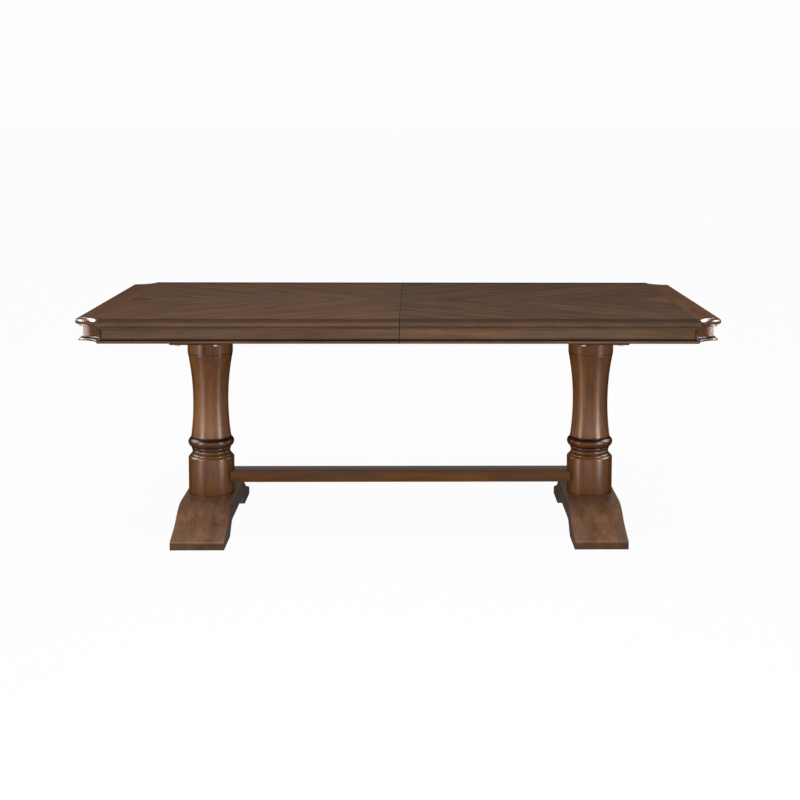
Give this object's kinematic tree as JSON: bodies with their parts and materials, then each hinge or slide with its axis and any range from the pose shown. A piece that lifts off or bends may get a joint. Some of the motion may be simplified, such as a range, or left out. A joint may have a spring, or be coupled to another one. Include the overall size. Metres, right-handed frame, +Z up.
{
  "type": "extending dining table",
  "caption": "Long dining table whose scooped-corner top parts at a centre seam and slides open on geared runners, on turned pedestals joined by a stretcher.",
  "frame": {"origin": "the middle of the closed table, on the floor", "axes": "+X along the table to the right as seen from the front, +Y from the front to the back, +Z up"},
  "size_m": [1.981, 1.067, 0.762],
  "materials": {
    "top_veneer": "satin lacquered walnut-coloured veneer, laid at an angle",
    "band_veneer": "satin lacquered veneer with its grain across the table",
    "edge_wood": "satin lacquered solid wood",
    "pedestal_wood": "satin lacquered solid wood",
    "panel_core": "bare underside veneer",
    "slide_wood": "waxed bare hardwood",
    "black_board": "painted matt black",
    "zinc_steel": "bright zinc plate",
    "gear_brass": "machined",
    "glide_plastic": "smooth nylon"
  },
  "bodies": {
    "base": {"left_foot": "pedestal_wood", "left_glides": "glide_plastic", "left_column": "pedestal_wood", "left_mounting_board": "black_board", "right_foot": "pedestal_wood", "right_glides": "glide_plastic", "right_column": "pedestal_wood", "right_mounting_board": "black_board", "tie_rods": "zinc_steel", "tie_rod_washers": "zinc_steel", "tie_rod_nuts": "zinc_steel", "column_dowels": "slide_wood", "board_bolts": "zinc_steel", "board_washers": "zinc_steel", "hanger_bolts": "zinc_steel", "cross_dowels": "zinc_steel", "stretcher": "pedestal_wood", "front_fixed_rail": "slide_wood", "rear_fixed_rail": "slide_wood", "centre_cleat": "slide_wood", "cleat_screws": "zinc_steel", "pinion_axles": "zinc_steel"},
    "left_top": {"left_edge_moulding": "edge_wood", "left_front_apron": "edge_wood", "left_corner_blocks": "edge_wood", "left_end_apron": "edge_wood", "left_rear_apron": "edge_wood", "left_apron_lip": "edge_wood", "left_top_panel": "panel_core", "left_field_veneer": "top_veneer", "left_end_band": "band_veneer", "left_glue_blocks": "slide_wood", "left_front_runner": "slide_wood", "left_rear_runner": "slide_wood", "left_runner_screws": "zinc_steel", "left_racks": "slide_wood", "left_stop_blocks": "slide_wood", "alignment_pins": "gear_brass", "lock_keepers": "zinc_steel"},
    "right_top": {"right_edge_moulding": "edge_wood", "right_front_apron": "edge_wood", "right_corner_blocks": "edge_wood", "right_end_apron": "edge_wood", "right_rear_apron": "edge_wood", "right_apron_lip": "edge_wood", "right_top_panel": "panel_core", "right_field_veneer": "top_veneer", "right_end_band": "band_veneer", "right_glue_blocks": "slide_wood", "right_front_runner": "slide_wood", "right_rear_runner": "slide_wood", "right_runner_screws": "zinc_steel", "right_racks": "slide_wood", "right_stop_blocks": "slide_wood", "lock_plates": "zinc_steel"},
    "front_pinion": {"front_pinion": "gear_brass"},
    "rear_pinion": {"rear_pinion": "gear_brass"},
    "front_lock_lever": {"front_lock_lever": "zinc_steel"},
    "rear_lock_lever": {"rear_lock_lever": "zinc_steel"}
  },
  "joints": [
    {"name": "left_top_slide", "type": "slide", "parent": "base", "child": "left_top", "axis": [-1, 0, 0], "range_m": [0, 0.23]},
    {"name": "right_top_slide", "type": "slide", "parent": "base", "child": "right_top", "axis": [1, 0, 0], "range_m": [0, 0.23]},
    {"name": "front_pinion_spin", "type": "hinge", "parent": "base", "child": "front_pinion", "pos_m": [0, -0.3, 0.696], "axis": [0, 0, -1], "range_deg": [0, 550]},
    {"name": "rear_pinion_spin", "type": "hinge", "parent": "base", "child": "rear_pinion", "pos_m": [0, 0.3, 0.696], "axis": [0, 0, -1], "range_deg": [0, 550]},
    {"name": "front_lock_turn", "type": "hinge", "parent": "right_top", "child": "front_lock_lever", "pos_m": [0.022, -0.15, 0.7353], "axis": [0, 0, -1], "range_deg": [0, 90]},
    {"name": "rear_lock_turn", "type": "hinge", "parent": "right_top", "child": "rear_lock_lever", "pos_m": [0.022, 0.15, 0.7353], "axis": [0, 0, -1], "range_deg": [0, 90]}
  ],
  "couplings": [
    {"joint": "right_top_slide", "follows": "left_top_slide", "ratio": 1},
    {"joint": "front_pinion_spin", "follows": "left_top_slide", "rad_per_m": 41.667},
    {"joint": "rear_pinion_spin", "follows": "left_top_slide", "rad_per_m": 41.667}
  ]
}
